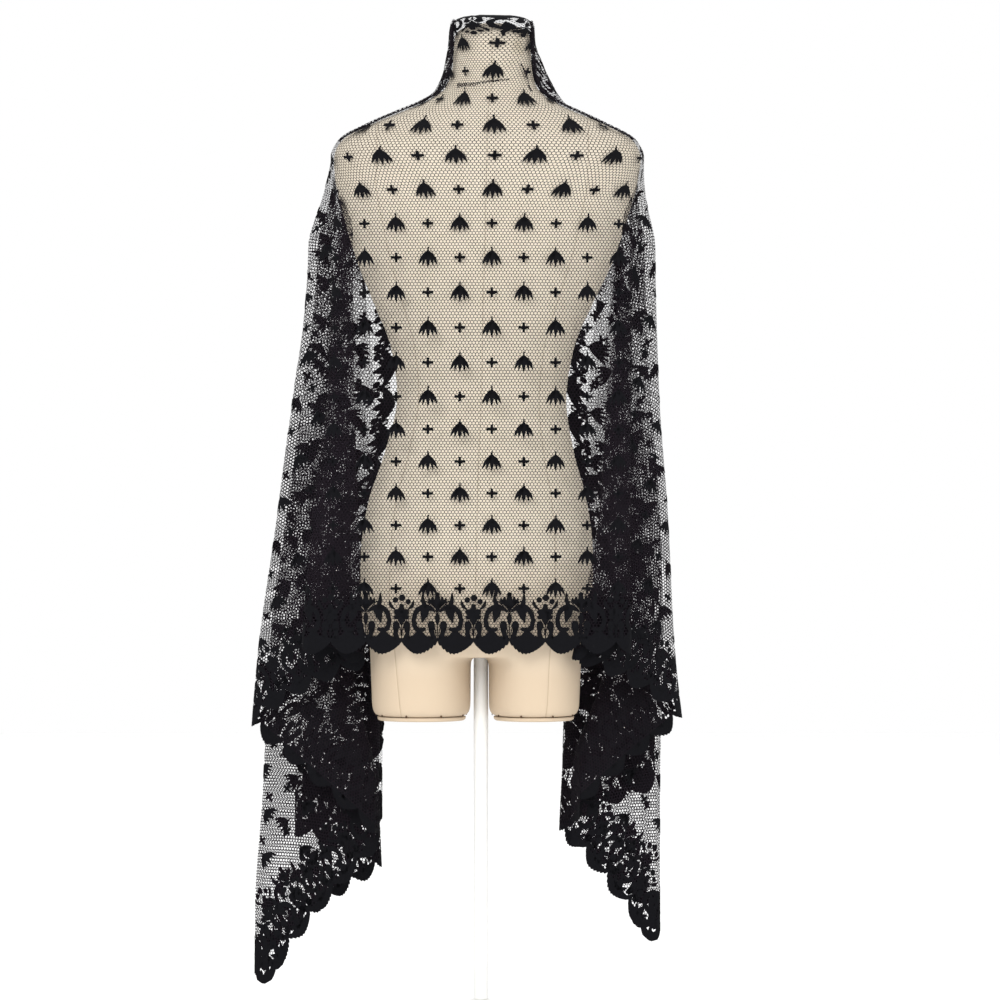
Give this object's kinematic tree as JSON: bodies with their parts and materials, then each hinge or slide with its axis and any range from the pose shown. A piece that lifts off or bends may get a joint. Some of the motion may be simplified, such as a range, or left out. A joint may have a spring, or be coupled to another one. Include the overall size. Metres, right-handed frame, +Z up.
{
  "type": "lace shawl on dress form",
  "caption": "Long black lace shawl with a scalloped floral border, worn over the shoulders of a cream dress form on a plain round stand",
  "frame": {"origin": "on the floor, at the centre of the underside of the stand's base, below the form's pole", "axes": "+Z up; -Y is the wearer's back, the side the picture shows; +X is the right side of the picture"},
  "size_m": [0.5366, 0.3536, 1.2606],
  "materials": {
    "lace": "fine black silk net with denser worked flowers and border, matt with a faint violet cast",
    "canvas": "cream woven cotton over a padded form, matt",
    "stand_paint": "white powder coat, satin"
  },
  "bodies": {
    "root": {"shawl": "lace", "form_body": "canvas", "form_thigh_cap_left": "canvas", "form_thigh_cap_right": "canvas", "stand_pole": "stand_paint", "stand_base": "stand_paint"}
  },
  "joints": []
}
